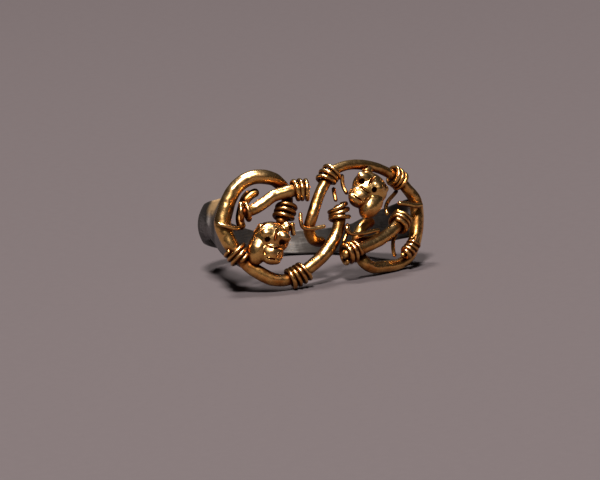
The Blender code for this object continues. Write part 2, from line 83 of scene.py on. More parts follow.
# Routes of the two thick wires: (along, across, level, thickness as a share of
# THICK_WIRE), level being the height over the bezel's curved middle surface
LEFT_SERPENT = (
    (-6.1, -1.4, 0.1, 1.0), (-5.5, 0.1, 0.0, 1.0), (-5.1, 1.5, -0.4, 1.0),
    (-5.2, 2.9, -0.9, 1.0), (-6.5, 4.0, -0.4, 1.1), (-8.1, 4.3, 0.0, 1.2),
    (-9.5, 4.1, 0.0, 1.2), (-10.9, 3.2, 0.0, 1.2), (-11.8, 1.8, 0.0, 1.25),
    (-12.3, 0.3, 0.0, 1.35), (-12.6, -1.0, 0.0, 1.4), (-12.3, -2.2, 0.0, 1.35),
    (-11.7, -3.5, 0.0, 1.25), (-10.7, -4.8, 0.0, 1.1), (-9.7, -5.9, 0.0, 1.1),
    (-8.3, -6.8, 0.0, 1.15), (-7.0, -7.4, 0.0, 1.1), (-5.4, -7.5, 0.0, 1.0),
    (-3.9, -6.9, 0.0, 1.0), (-2.5, -5.9, 0.0, 1.05), (-1.1, -4.7, 0.0, 1.1),
    (0.1, -3.2, 0.0, 1.1), (0.9, -1.6, 0.0, 1.05), (1.2, 0.2, 0.0, 1.0),
    (0.8, 1.5, 0.0, 0.9),
)
RIGHT_SERPENT = (
    (0.1, -2.5, -1.8, 0.9), (-0.9, -2.7, -1.5, 0.9), (-1.9, -2.4, -0.9, 0.95),
    (-2.5, -1.4, -0.3, 0.95), (-2.2, 0.0, 0.0, 0.95), (-1.8, 1.3, 0.0, 0.95),
    (-1.3, 2.6, 0.0, 0.95), (-0.8, 3.6, 0.0, 0.95), (-0.3, 4.6, 0.0, 0.9),
    (0.5, 5.4, 0.0, 0.85), (1.5, 5.9, 0.0, 0.85), (2.7, 6.2, 0.0, 0.85),
    (4.1, 6.3, 0.0, 0.85), (5.7, 6.2, 0.0, 0.85), (7.5, 5.8, 0.0, 0.85),
    (9.2, 5.2, 0.0, 0.9), (10.8, 4.1, 0.0, 0.95), (12.0, 3.1, 0.0, 1.05),
    (12.4, 1.9, 0.0, 1.1), (12.4, 0.4, 0.0, 1.15), (12.2, -1.1, 0.0, 1.1),
    (11.6, -2.8, 0.0, 1.05), (10.6, -4.1, 0.0, 0.95), (8.9, -4.9, 0.0, 0.95),
    (7.2, -5.2, 0.0, 1.0), (5.5, -5.4, 0.0, 1.0), (4.3, -4.8, 0.0, 1.05),
    (4.1, -3.4, -0.9, 1.0), (4.0, -2.3, -0.85, 1.0), (4.5, -1.1, -0.9, 0.95),
    (5.4, -0.3, -1.1, 0.95), (6.6, 0.1, -1.2, 0.9),
)
bezel_half_length = max(point[0] for point in RIGHT_SERPENT)
OUTER_PART = 0.6  # share of that length beyond which a loop's wire is its outer one

# The two shoulders by their side: (outer wire, width at the hoop, rise at the
# hoop, width at the bezel, drop at the bezel)
SHOULDERS = {
    1: (RIGHT_SERPENT, HOOP_WIDTH_AT_RIGHT, 0.0, RIGHT_SHOULDER_WIDTH, RIGHT_SHOULDER_DROP),
    -1: (
        LEFT_SERPENT, HOOP_WIDTH_AT_LEFT, HOOP_RISE_AT_LEFT,
        LEFT_SHOULDER_WIDTH, LEFT_SHOULDER_DROP,
    ),
}


def bezel_place(along, across, level):
    """A place on the bezel of the upright ring, in metres."""
    angle = along / BEZEL_CURVE_RADIUS
    out = BEZEL_CURVE_RADIUS + level
    depth = BEZEL_CURVE_RADIUS - bezel_distance
    return Vector((out * math.sin(angle), depth - out * math.cos(angle), across)) * MM


def frame_wire_place(route, side, height):
    """Where the outer wire of one loop passes a height."""
    outer = [point for point in route if point[0] * side > bezel_half_length * OUTER_PART]
    outer.sort(key=lambda point: point[1])
    for low, high in zip(outer, outer[1:]):
        if low[1] <= height <= high[1]:
            share = (height - low[1]) / (high[1] - low[1])
            return Vector(low).lerp(Vector(high), share)
    return Vector(outer[0] if height < outer[0][1] else outer[-1])


def hoop_section():
    """The band's section as (out, up): domed on the outside, flat within."""
    rises = [i / HOOP_RISE_STEPS - 0.5 for i in range(HOOP_RISE_STEPS + 1)]
    dome = HOOP_WALL - HOOP_EDGE_WALL
    outside = [(HOOP_EDGE_WALL + dome * (1 - (2 * up) ** 2), up) for up in rises]
    return outside + [(0.0, up) for up in reversed(rises)]


def shoulder_section(side, spread):
    """One section of a shoulder; spread runs from 0 at the hoop to 1 at the bezel."""
    route, side_width, rise, end_width, drop = SHOULDERS[side]
    grown = spread**SHOULDER_FLARE
    width = side_width + (end_width - side_width) * spread
    ring = []
    for out, up in hoop_section():
        height = up * width + rise * (1 - spread) - drop * spread
        along, across, level, thickness = frame_wire_place(route, side, height)
        back = bezel_place(along, across, level - thickness * THICK_WIRE / 4) / MM
        reach = abs(back.x) - HOOP_WALL / 2 - hole_radius
        x = hole_radius + reach * grown + out
        ring.append(Vector((side * x, back.y * spread, height)) * MM)
    return ring


def back_section(angle):
    """One section of the round part of the hoop, at an angle from the bezel."""
    side_width, rise = SHOULDERS[1 if angle < math.pi else -1][1:3]
    nearness = abs(math.sin(angle))
    width = HOOP_WIDTH_AT_BACK + (side_width - HOOP_WIDTH_AT_BACK) * nearness
    away = Vector((math.sin(angle), -math.cos(angle), 0))
    ring = []
    for out, up in hoop_section():
        height = up * width + rise * nearness
        ring.append((away * (hole_radius + out) + Vector((0, 0, height))) * MM)
    return ring


def hoop_sections():
    """All the sections in order, from the right end round the back to the left end."""
    steps = HOOP_SHOULDER_STEPS
    for i in range(steps):
        yield shoulder_section(1, 1 - i / steps)
    for i in range(HOOP_BACK_STEPS + 1):
        yield back_section(math.pi * (0.5 + i / HOOP_BACK_STEPS))
    for i in range(steps):
        yield shoulder_section(-1, (i + 1) / steps)


def hoop_mesh():
    """The band: its first section is drawn out through all the others."""
    band = bmesh.new()
    sections = hoop_sections()
    ring = [band.verts.new(place) for place in next(sections)]
    edges = [band.edges.new((a, b)) for a, b in zip(ring, ring[1:] + ring[:1])]
    band.faces.new(ring)
    for section in sections:
        drawn = bmesh.ops.extrude_edge_only(band, edges=edges)["geom"]
        edges = [part for part in drawn if isinstance(part, bmesh.types.BMEdge)]
        edges = [edge for edge in edges if all(vert not in ring for vert in edge.verts)]
        ring = [vert for vert in drawn if isinstance(vert, bmesh.types.BMVert)]
        for vert, place in zip(ring, section):
            vert.co = place
    bmesh.ops.edgeloop_fill(band, edges=edges)
    bmesh.ops.recalc_face_normals(band, faces=band.faces[:])
    return band


FINE_DENT_SIZE = 0.35  # as a share of the size of the broad dents
FINE_DENT_DEPTH = 0.3  # as a share of the whole depth


def hammered(made, depth, size, seed):
    """Pushes the surface in by up to depth, in soft dents of about that size."""
    made.normal_update()
    offset = Vector((seed, seed * 2.3, seed * 3.7))
    moves = []
    for vert in made.verts:
        broad = noise.noise(vert.co / (size * MM) + offset) * 0.5 + 0.5
        fine = noise.noise(vert.co / (size * FINE_DENT_SIZE * MM) - offset) * 0.5 + 0.5
        share = (1 - FINE_DENT_DEPTH) * broad + FINE_DENT_DEPTH * fine
        moves.append(vert.normal * (-depth * MM * share))
    for vert, move in zip(made.verts, moves):
        vert.co += move


pieces = []


def finish_piece(name, made, finish, node):
    """Lays a piece down with the ring, and gives it its finish and its place in the frame."""
    bmesh.ops.transform(made, matrix=lying, verts=made.verts[:])
    for vert in made.verts:
        vert.co.z = max(vert.co.z, 0.0)
    for face in made.faces:
        face.smooth = True
    mesh = bpy.data.meshes.new(name)
    made.to_mesh(mesh)
    made.free()
    mesh.materials.append(finish)
    piece = bpy.data.objects.new(name, mesh)
    bpy.context.scene.collection.objects.link(piece)
    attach(piece, "root")
    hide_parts(node)
    pieces.append(piece)
    return piece


class Value:
    """A shader socket that can be used in sums; each sum adds a Math node."""

    def __init__(self, finish, socket):
        self.finish = finish
        self.socket = socket

    def sum(self, operation, first, second):
        return self.finish.add("ShaderNodeMath", {"operation": operation}, {0: first, 1: second})

    def __add__(self, other):
        return self.sum("ADD", self, other)

    __radd__ = __add__

    def __sub__(self, other):
        return self.sum("SUBTRACT", self, other)

    def __rsub__(self, other):
        return self.sum("SUBTRACT", other, self)

    def __mul__(self, other):
        return self.sum("MULTIPLY", self, other)

    __rmul__ = __mul__

    def between(self, low, high):
        """0 at low, 1 at high, and smooth between them."""
        settings = {"interpolation_type": "SMOOTHSTEP"}
        return self.finish.add("ShaderNodeMapRange", settings, {0: self, 1: low, 2: high})


class Finish:
    """A material being made, with one way of adding a node."""

    def __init__(self, name):
        self.material = bpy.data.materials.new(name)
        self.material.use_nodes = True
        self.tree = self.material.node_tree
        self.shader = self.tree.nodes["Principled BSDF"]
        self.place = self.add("ShaderNodeTexCoord", {}, {}, "Object")

    def add(self, kind, settings, sockets, result=0):
        node = self.tree.nodes.new(kind)
        for name, setting in settings.items():
            setattr(node, name, setting)
        self.fill(node, sockets)
        return Value(self, node.outputs[result])

    def fill(self, node, sockets):
        for name, value in sockets.items():
            if isinstance(value, Value):
                self.tree.links.new(value.socket, node.inputs[name])
            else:
                node.inputs[name].default_value = value

    def clouds(self, size, detail=3.0, place=None):
        """Noise whose clouds are about size across, in millimetres."""
        sockets = {"Vector": place or self.place, "Scale": 1 / (size * MM), "Detail": detail}
        return self.add("ShaderNodeTexNoise", {}, sockets, "Fac")

    def cells(self, size):
        """Round-sided cells of about that size: 0 in the middle, more at the edges."""
        sockets = {"Vector": self.place, "Scale": 1 / (size * MM)}
        return self.add("ShaderNodeTexVoronoi", {"feature": "SMOOTH_F1"}, sockets, "Distance")

    def mix(self, share, first, second):
        """A colour between two others."""
        return self.add("ShaderNodeMix", {"data_type": "RGBA"}, {0: share, 6: first, 7: second}, 2)

    def near(self, spot, waver, low, high):
        """1 near a spot of the upright ring and 0 away from it, with a wavering edge."""
        ends = {0: self.place, 1: lying @ (Vector(spot) * MM)}
        distance = self.add("ShaderNodeVectorMath", {"operation": "DISTANCE"}, ends, "Value")
        return 1.0 - (distance * (1 / MM) + waver).between(low, high)

    def attribute(self, name):
        return self.add("ShaderNodeAttribute", {"attribute_name": name}, {}, "Fac")

    def bump(self, height, depth, strength):
        sockets = {"Height": height, "Distance": depth * MM, "Strength": strength}
        return self.add("ShaderNodeBump", {}, sockets, "Normal")


def colour(red, green, blue):
    return (red, green, blue, 1.0)


def tarnished_silver():
    """Worn band: grey with tarnish, lighter where it is rubbed, with fine scratches,
    and with painted shade, near black in its hollows and on its undersides; beside
    the left loop a little gold has flowed over it, painted bright as a highlight,
    and below that is a painted highlight, a pale spot.
    """
    made = Finish("tarnished silver")
    openness = made.attribute("openness")
    clouds = made.clouds(2.4, 5.0)
    fine = made.clouds(0.25, 4.0)
    stretch = made.add("ShaderNodeMapping", {}, {"Vector": made.place, "Scale": (0.25, 0.25, 3.0)})
    scratches = made.clouds(0.5, 4.0, stretch)
    rubbed = (clouds + 0.35 * scratches).between(0.60, 0.80)
    # Painted shade: darker and less metallic where other metal shelters a spot or where it faces
    # down
    painted_shade = (1.10 - openness + 0.35 * fine).between(0.35, 0.85)
    # A little gold on the band, painted bright as a highlight where the band's top catches the
    # light
    gold_and_sheen = made.near(GOLD_AND_SHEEN_SPOT, 2.2 * clouds + 0.8 * fine, 2.2, 3.8)
    # A painted highlight: a pale spot on the band below the gold
    painted_highlight = made.near(PAINTED_HIGHLIGHT_SPOT, 1.6 * clouds + 0.6 * fine, 1.2, 2.4)
    tarnish = colour(0.070, 0.062, 0.058)
    worn_silver = colour(0.20, 0.185, 0.178)
    painted_highlight_silver = colour(0.90, 0.85, 0.82)
    sheen_gold = colour(1.0, 0.68, 0.36)
    painted_shade_dark = colour(0.022, 0.018, 0.017)
    metal = made.mix(rubbed, tarnish, worn_silver)
    with_painted_highlight = made.mix(painted_highlight, metal, painted_highlight_silver)
    with_gold_sheen = made.mix(gold_and_sheen, with_painted_highlight, sheen_gold)
    made.fill(made.shader, {
        "Base Color": made.mix(painted_shade, with_gold_sheen, painted_shade_dark),
        "Metallic": 1.0 - 0.35 * painted_shade,
        "Roughness": 0.46 - 0.14 * rubbed + 0.15 * fine,
        "Normal": made.bump(0.6 * scratches + 0.5 * fine + clouds, 0.06, 0.35),
    })
    return made.material


hoop = hoop_mesh()
hammered(hoop, *HOOP_DENTS, seed=3.0)
finish_piece("hoop_band", hoop, tarnished_silver(), "hoop")


# Two serpents of thick gold wire make the frame of the bezel. Each is one wire,
# bent by hand into a loop and hammered round, thicker on the outside of the loop,
# and the loops pass into each other in the middle of the bezel.

WIRE_STEP = 0.16  # between the points along a wire
WIRE_SIDES = 22
WIRE_WAVER = 0.06  # how much thinner than its full size a wire gets, as a share
WAVER_LENGTH = 1.7
LEAST_END = 0.02  # square of the share of its size that a rounded end keeps
WIRE_DENT_DEPTH = 0.04  # as a share of the wire's size
WIRE_DENT_SIZE = 0.9


def smooth(points, step):
    """Points about step apart along a smooth curve through the given ones."""
    points = [Vector(point) for point in points]
    ends = [2 * points[0] - points[1]] + points + [2 * points[-1] - points[-2]]
    route = []
    for a, b, c, d in zip(ends, ends[1:], ends[2:], ends[3:]):
        count = max(1, round((c - b).length / step))
        for i in range(count):
            t = i / count
            route.append(
                0.5 * (2 * b + (c - a) * t + (2 * a - 5 * b + 4 * c - d) * t**2
                       + (3 * b - a - 3 * c + d) * t**3)
            )
    return route + [points[-1]]


def plain_wire(points, diameter):
    """A wire of one thickness: its places in metres, and its diameter at each."""
    route = [bezel_place(*point) for point in smooth(points, WIRE_STEP)]
    return route, [diameter] * len(route)


def swelling_wire(points):
    """A thick wire, whose points also say how thick it is as a share of THICK_WIRE."""
    points = smooth(points, WIRE_STEP)
    diameters = [point[3] * THICK_WIRE for point in points]
    return [bezel_place(*point[:3]) for point in points], diameters


def lengths_along(route):
    total = [0.0]
    for a, b in zip(route, route[1:]):
        total.append(total[-1] + (b - a).length)
    return total


SAME_PLACE = 0.002  # points nearer to each other than this are made one


def worked_mesh(worked):
    """The mesh of an object with all its modifiers, and the object goes."""
    graph = bpy.context.evaluated_depsgraph_get()
    mesh = bpy.data.meshes.new_from_object(worked.evaluated_get(graph))
    bpy.data.objects.remove(worked)
    made = bmesh.new()
    made.from_mesh(mesh)
    return made


def drawn_wire(wire, seed, sides):
    """The mesh of a round wire, a little uneven, with its ends rounded off."""
    route, diameters = wire
    curve = bpy.data.curves.new("wire", "CURVE")
    curve.dimensions = "3D"
    curve.bevel_depth = MM / 2
    curve.bevel_resolution = sides // 2 - 2
    curve.use_fill_caps = True
    spline = curve.splines.new("POLY")
    spline.points.add(len(route) - 1)
    total = lengths_along(route)
    for point, place, diameter, length in zip(spline.points, route, diameters, total):
        point.co = (*place, 1.0)
        near = min(length, total[-1] - length) / (diameter / 2 * MM)
        rounded = math.sqrt(max(LEAST_END, 1 - max(0.0, 1 - near) ** 2))
        unevenness = noise.noise(Vector((length / (WAVER_LENGTH * MM), seed, 0.5)))
        point.radius = diameter * rounded * (1 - WIRE_WAVER * (0.5 + 0.5 * unevenness))
    drawn = bpy.data.objects.new("wire", curve)
    bpy.context.scene.collection.objects.link(drawn)
    made = worked_mesh(drawn)
    bmesh.ops.remove_doubles(made, verts=made.verts[:], dist=SAME_PLACE * MM)
    bmesh.ops.recalc_face_normals(made, faces=made.faces[:])
    return made


def bright_gold():
    """Gold, reddish in places, with soft dents; painted shade darkens its hollows and undersides,
    and painted light makes open, upward parts paler.
    """
    made = Finish("bright gold")
    openness = made.attribute("openness")
    clouds = made.clouds(2.2, 4.0)
    fine = made.clouds(0.22, 3.0)
    dents = made.cells(0.8)
    # Painted shade: dark red-brown and rougher where other metal shelters a spot or where it faces
    # down
    painted_shade = (1.0 - openness + 0.30 * (clouds - 0.5) + 0.22 * (fine - 0.5)).between(0.16, 0.58)
    yellow_gold = colour(0.93, 0.52, 0.16)
    red_gold = colour(0.84, 0.32, 0.07)
    painted_lit_gold = colour(1.0, 0.64, 0.29)
    painted_shade_dark = colour(0.10, 0.021, 0.004)
    # Painted light: paler cream gold where a spot is open and faces up
    painted_top_light = (openness + 0.2 * (clouds - 0.5)).between(0.72, 0.94)
    warm = made.mix(clouds.between(0.42, 0.66), yellow_gold, red_gold)
    gold_with_painted_light = made.mix(painted_shade, made.mix(painted_top_light, warm, painted_lit_gold), painted_shade_dark)
    made.fill(made.shader, {
        "Base Color": gold_with_painted_light,
        "Metallic": 1.0,
        "Roughness": 0.19 + 0.20 * painted_shade + 0.14 * fine,
        "Normal": made.bump(0.8 * dents + 0.5 * clouds + 0.08 * fine, 0.13, 0.8),
    })
    return made.material


gold = bright_gold()


def gold_wire(name, wire, seed, node, sides=WIRE_SIDES):
    made = drawn_wire(wire, seed, sides)
    hammered(made, WIRE_DENT_DEPTH * max(wire[1]), WIRE_DENT_SIZE, seed)
    finish_piece(name, made, gold, node)


left_serpent = swelling_wire(LEFT_SERPENT)
right_serpent = swelling_wire(RIGHT_SERPENT)
gold_wire("left_serpent_wire", left_serpent, 1.0, "left_serpent_body")
gold_wire("right_serpent_wire", right_serpent, 2.0, "right_serpent_body")


# The cross bars are two shorter lengths of the same wire. Each goes over the
# front of one loop from its outer side to the waist, held by a binding at each end.

LEFT_BAR = (
    (-10.9, 0.05, 1.45, 0.85), (-10.4, 0.0, 1.45, 0.85), (-9.8, 0.1, 1.3, 0.9),
    (-9.1, 0.4, 1.1, 0.95), (-8.1, 1.1, 0.95, 1.0), (-6.9, 2.0, 0.9, 1.0),
    (-5.4, 2.5, 0.85, 1.05), (-4.1, 2.8, 0.9, 1.05), (-2.9, 2.8, 1.1, 1.0),
)
RIGHT_BAR = (
    (10.3, 1.2, -0.2, 0.9), (9.7, 0.6, 0.3, 0.95), (8.6, -0.4, 0.7, 1.0),
    (7.3, -1.4, 0.85, 1.0), (6.0, -2.3, 0.9, 1.0), (4.2, -3.2, 0.9, 1.0),
    (2.8, -3.8, 0.95, 1.0), (1.8, -4.2, 0.95, 0.95), (1.0, -4.5, 0.9, 0.9),
)

left_bar = swelling_wire(LEFT_BAR)
right_bar = swelling_wire(RIGHT_BAR)
gold_wire("left_cross_bar_wire", left_bar, 3.0, "left_cross_bar")
gold_wire("right_cross_bar_wire", right_bar, 4.0, "right_cross_bar")


# Finer wires fill the loops: short inner wires beside the frame, two ties, two
# hooks that curl under the heads, a long wire, two struts and a stub. They are
# drawn wire, soldered where they touch.

INNER_WIRE = 1.1
CORE_WIRE = 0.6
LOW_WIRE = 0.7
THIN_WIRE = 0.5
FINE_WIRE_SIDES = 16
RIGHT_INNER_WIRE = ((11.2, -1.2, 1.2), (10.6, -2.3, 1.3), (9.7, -3.3, 1.3), (8.7, -4.0, 1.2))
FINE_WIRES = {
    "left_inner_wire": (INNER_WIRE, ((-8.3, 2.8, -1.1), (-9.3, 2.3, -0.95), (-10.2, 1.3, -1.0))),
    "left_middle_wire": (INNER_WIRE, (
        (-9.1, 2.9, -2.1), (-9.9, 2.0, -2.1), (-10.3, 0.9, -2.1),
        (-10.5, -0.4, -2.0), (-10.2, -1.6, -1.8))),
    "right_inner_wire": (CORE_WIRE, RIGHT_INNER_WIRE),
    "left_tie": (THIN_WIRE, (
        (-13.2, -1.3, 1.25), (-12.5, -1.5, 1.4), (-11.4, -1.8, 1.2),
        (-10.6, -1.8, 0.7))),
    "right_tie": (CORE_WIRE, (
        (12.1, 2.3, 1.15), (10.9, 2.1, 1.1), (9.7, 2.2, 0.9),
        (8.7, 2.2, 0.6))),
    "left_hook": (THIN_WIRE, (
        (-3.8, 0.3, 0.6), (-3.8, -0.8, 0.75), (-3.5, -1.5, 0.75),
        (-2.6, -1.6, 0.75), (-0.9, -1.2, 0.9))),
    "right_hook": (THIN_WIRE, (
        (1.7, -0.9, 1.0), (1.6, -1.5, 1.1), (2.1, -1.9, 1.0),
        (3.5, -1.8, 1.05), (5.0, -1.4, 1.0), (5.9, -1.2, 0.95))),
    "right_low_wire": (LOW_WIRE, (
        (2.9, -2.9, 0.25), (4.0, -2.35, 0.25), (5.6, -2.0, -0.2),
        (6.9, -1.4, -0.2))),
    "right_strand": (THIN_WIRE, ((2.0, -0.6, 0.4), (1.9, -1.8, 0.4), (1.4, -3.0, 0.4))),
    "right_upright": (THIN_WIRE, (
        (8.9, -1.3, 0.15), (8.5, -2.1, 0.1), (8.5, -3.2, 0.1),
        (8.8, -4.0, 0.1))),
    "long_wire": (THIN_WIRE, (
        (9.9, 3.9, -0.8), (9.0, 3.3, -0.4), (7.9, 2.5, 0.0),
        (7.1, 1.6, 0.5), (7.0, 0.6, 0.9))),
    "neck_stub": (CORE_WIRE, ((-4.8, -0.9, 0.9), (-4.8, -1.6, 0.9), (-4.6, -2.5, 0.6))),
    "arch_strut_1": (THIN_WIRE, ((0.75, 3.6, -0.7), (0.75, 2.8, -0.5), (0.8, 1.8, -0.1))),
    "arch_strut_2": (THIN_WIRE, ((1.7, 5.15, -0.4), (1.8, 3.8, -0.35), (2.2, 2.7, 0.0))),
}

for i, (node, (diameter, points)) in enumerate(FINE_WIRES.items()):
    gold_wire(f"{node}_drawn", plain_wire(points, diameter), 5.0 + i, node, FINE_WIRE_SIDES)


# The bindings are thin wire wound a few turns tight round a thicker one, pushed
# close together. Each is a wire of its own, with its ends tucked in.

BINDING_WIRE = 0.5
BINDING_PITCH = 0.6
BINDING_GAP = 0.05  # between the turns and the wire that they go round
BINDING_SIDES = 14
BINDING_SWELL = 1.04  # the turns are pressed a little wider than the wire was
BINDING_DENTS = (0.012, 0.5)  # depth and size
TURN_POINTS = 36
TURN_WAVER = 0.10  # how far a turn strays along the core, as a share of the pitch
TURN_SINK = 0.02  # how far it strays inwards
TURN_BENDS = 1.7  # how often it strays in one turn
TUCK_TURNS = 0.2  # the part of a turn in which an end is tucked in
TUCK_DEPTH = 0.10


def at_length(route, total, length):
    """The place at a length along the route, and the route's direction there."""
    for i in range(len(route) - 1):
        if total[i + 1] >= length or i == len(route) - 2:
            share = (length - total[i]) / (total[i + 1] - total[i])
            way = route[i + 1] - route[i]
            return route[i] + way * share, way.normalized()


def binding(node, core, middle, turns, seed):
    """A helix round the core wire, centred on the place middle."""
    core_route, core_diameters = core
    total = lengths_along(core_route)
    aim = bezel_place(*middle)
    centre = total[min(range(len(core_route)), key=lambda i: (core_route[i] - aim).length)]
    pitch = BINDING_PITCH * MM
    reach = turns * pitch / 2
    start = min(max(centre - reach, 0.0), total[-1] - turns * pitch)
    bound = [size for size, length in zip(core_diameters, total) if abs(length - centre) < reach]
    radius = (max(bound) + BINDING_WIRE) / 2 + BINDING_GAP
    across = None
    route = []
    for i in range(turns * TURN_POINTS + 1):
        turn = i / TURN_POINTS
        uneven = noise.noise(Vector((turn * TURN_BENDS, seed, 0.0)))
        place, way = at_length(core_route, total, start + (turn + TURN_WAVER * uneven) * pitch)
        across = across or way.orthogonal()
        across = (across - way * across.dot(way)).normalized()
        turned = Matrix.Rotation(turn * math.tau, 3, way) @ across
        tucked = 1 - min(turn, turns - turn, TUCK_TURNS) / TUCK_TURNS
        sunk = tucked * TUCK_DEPTH + TURN_SINK * uneven
        route.append(place + turned * (radius - sunk) * MM)
    made = drawn_wire((route, [BINDING_WIRE * BINDING_SWELL] * len(route)), seed, BINDING_SIDES)
    hammered(made, *BINDING_DENTS, seed=seed)
    finish_piece(f"{node}_wound", made, gold, node)


right_inner = plain_wire(RIGHT_INNER_WIRE, CORE_WIRE)
LEFT_SERPENT_BINDINGS = (
    ("binding_left_low", (-10.9, -4.8, 0.0), 3),
    ("binding_left_bottom", (-3.9, -6.9, 0.0), 4),
    ("binding_left_neck", (-5.6, 0.3, 0.0), 3),
    ("binding_waist", (1.1, 0.5, 0.0), 3),
)
RIGHT_SERPENT_BINDINGS = (
    ("binding_right_arch_left", (-0.2, 4.7, 0.0), 3),
    ("binding_right_arch_right", (9.2, 5.2, 0.0), 3),
)
LEFT_BAR_BINDINGS = (
    ("binding_left_bar_outer", (-10.2, 0.0, 1.4), 2),
    ("binding_left_bar_inner", (-3.4, 2.8, 1.0), 3),
)
RIGHT_BAR_BINDINGS = (
    ("binding_right_bar_outer", (9.2, 0.2, 0.5), 3),
    ("binding_right_bar_inner", (2.0, -4.1, 0.95), 3),
)
RIGHT_INNER_BINDINGS = (("binding_right_inner", (10.1, -2.9, 1.3), 4),)

for i, (core, bindings) in enumerate((
    (left_serpent, LEFT_SERPENT_BINDINGS),
    (right_serpent, RIGHT_SERPENT_BINDINGS),
    (left_bar, LEFT_BAR_BINDINGS),
    (right_bar, RIGHT_BAR_BINDINGS),
    (right_inner, RIGHT_INNER_BINDINGS),
)):
    for j, (name, middle, turns) in enumerate(bindings):
        binding(name, core, middle, turns, 20.0 + 4 * i + j)


# Each serpent ends in a small beast's head, cast solid and finished with a punch:
# two round ears, heavy brows over drilled eyes, and a blunt muzzle. The heads
# fill the middle of the loops and are soldered to the wires at their backs.

HEAD_LENGTH = 5.8
HEAD_WIDTH = 5.0
HEAD_DEPTH = 3.2
EYE_HOLE = 0.6
EAR_SHARE = 0.7  # size of the ear on the heavy side, as a share of the other
EAR_LEAN = 20  # degrees, outwards
BROW_LEAN = 14
FACE_ASIDE = 0.08  # how far the face is off the middle, as a share of the width
EYE_ASIDE = 0.17  # from the middle of the face
HEAD_DENTS = (0.07, 0.8)  # depth and size
HEAD_GRAIN = 0.075  # size of the facets that the head's form is worked in
GROOVE_GRAIN = 0.05


def blob(made, size, place, turn=0.0):
    """Adds one rounded lump of metal to the head."""
    shape = (
        Matrix.Translation(Vector(place) * MM)
        @ Matrix.Rotation(math.radians(turn), 4, "Y")
        @ Matrix.Diagonal((*(Vector(size) / 2 * MM), 1.0))
    )
    bmesh.ops.create_icosphere(made, subdivisions=4, radius=1.0, matrix=shape)


def object_from(name, made):
    mesh = bpy.data.meshes.new(name)
    made.to_mesh(mesh)
    made.free()
    added = bpy.data.objects.new(name, mesh)
    bpy.context.scene.collection.objects.link(added)
    return added


def head_form(heavy_side):
    """The lumps of the head, in its own axes: snout down, face towards -Y."""
    long, wide, deep = HEAD_LENGTH, HEAD_WIDTH, HEAD_DEPTH
    face = -heavy_side * wide * FACE_ASIDE
    skull = (wide * 0.86, deep, long * 0.66)
    muzzle = (wide * 0.56, deep * 0.8, long * 0.48)
    nose = (wide * 0.40, deep * 0.4, long * 0.18)
    cheek = (wide * 0.5, deep * 0.85, long * 0.66)
    form = bmesh.new()
    blob(form, skull, (0, 0, long * 0.08))
    blob(form, muzzle, (face, -deep * 0.12, -long * 0.22))
    blob(form, nose, (face * 1.5, -deep * 0.26, -long * 0.37))
    blob(form, cheek, (heavy_side * wide * 0.24, 0, -long * 0.19))
    for side in (-1, 1):
        ear_share = EAR_SHARE if side == heavy_side else 1.0
        ear = (wide * 0.26 * ear_share, deep * 0.36, long * 0.22 * ear_share)
        ear_place = (side * wide * 0.29, -deep * 0.1, long * 0.35 * ear_share)
        blob(form, ear, ear_place, side * EAR_LEAN)
        brow = (wide * 0.36, deep * 0.34, long * 0.22)
        brow_place = (face + side * wide * 0.18, -deep * 0.36, long * 0.12)
        blob(form, brow, brow_place, side * BROW_LEAN)
    return form


# Grooves that the punch leaves on the face: (width, depth, length) at (along,
# out, up), as shares of the head's width, depth and length, and their lean
GROOVES = (
    ((0.07, 0.30, 0.34), (0.0, -0.50, 0.16), 0),
    ((0.34, 0.24, 0.045), (0.16, -0.50, -0.12), -14),
    ((0.34, 0.24, 0.045), (-0.16, -0.50, -0.12), 14),
    ((0.40, 0.26, 0.035), (0.0, -0.50, -0.36), 0),
    ((0.05, 0.26, 0.24), (0.15, -0.52, -0.26), 16),
    ((0.05, 0.26, 0.24), (-0.17, -0.52, -0.26), -16),
    ((0.06, 0.30, 0.22), (0.31, -0.24, 0.30), -24),
    ((0.06, 0.30, 0.22), (-0.31, -0.24, 0.30), 24),
    ((0.30, 0.22, 0.04), (0.20, -0.48, 0.27), 10),
    ((0.30, 0.22, 0.04), (-0.20, -0.48, 0.27), -10),
)


def head_cuts(heavy_side):
    """What the punch and the drill take away."""
    long, wide, deep = HEAD_LENGTH, HEAD_WIDTH, HEAD_DEPTH
    face = -heavy_side * wide * FACE_ASIDE
    cuts = bmesh.new()
    drill = EYE_HOLE / 2 * MM
    for side in (-1, 1):
        eye = Vector((face + side * wide * EYE_ASIDE, -deep * 0.5, 0)) * MM
        bmesh.ops.create_cone(
            cuts, cap_ends=True, segments=24, radius1=drill, radius2=drill,
            depth=deep * 0.5 * MM,
            matrix=Matrix.Translation(eye) @ Matrix.Rotation(math.pi / 2, 4, "X"),
        )
    for (across, inward, upward), (x, y, z), lean in GROOVES:
        size = (wide * across, deep * inward, long * upward)
        blob(cuts, size, (face + wide * x, deep * y, long * z), lean)
    return cuts


